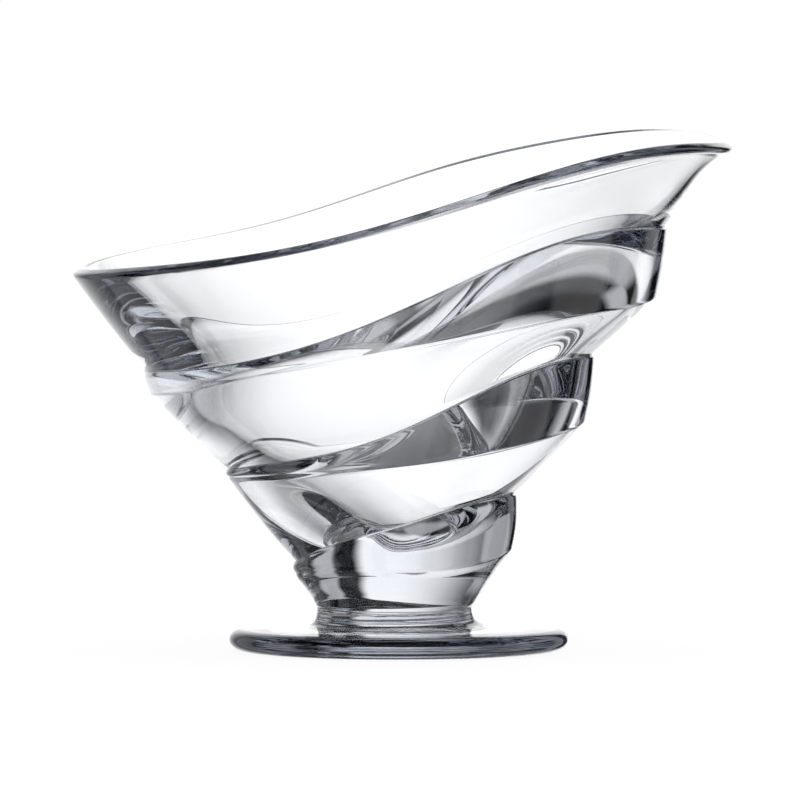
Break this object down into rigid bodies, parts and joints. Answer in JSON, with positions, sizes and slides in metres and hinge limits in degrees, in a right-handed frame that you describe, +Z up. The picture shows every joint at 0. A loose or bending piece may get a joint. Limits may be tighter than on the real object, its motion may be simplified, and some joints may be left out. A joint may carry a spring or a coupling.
{
  "type": "dessert cup",
  "caption": "Footed clear glass dessert cup with a slanted wavy rim and tilted moulded bands around a funnel-shaped bowl, for serving ice cream or fruit.",
  "frame": {"origin": "centre of the foot's underside, on the surface that the cup stands on", "axes": "+Z up along the foot's axis, +X towards the high side of the rim, +Y towards the flank where the rim swells"},
  "size_m": [0.1324, 0.1324, 0.103],
  "materials": {
    "clear_glass": "clear, fire-polished, smooth"
  },
  "bodies": {
    "root": {"bowl": "clear_glass", "neck": "clear_glass", "foot": "clear_glass"}
  },
  "joints": []
}
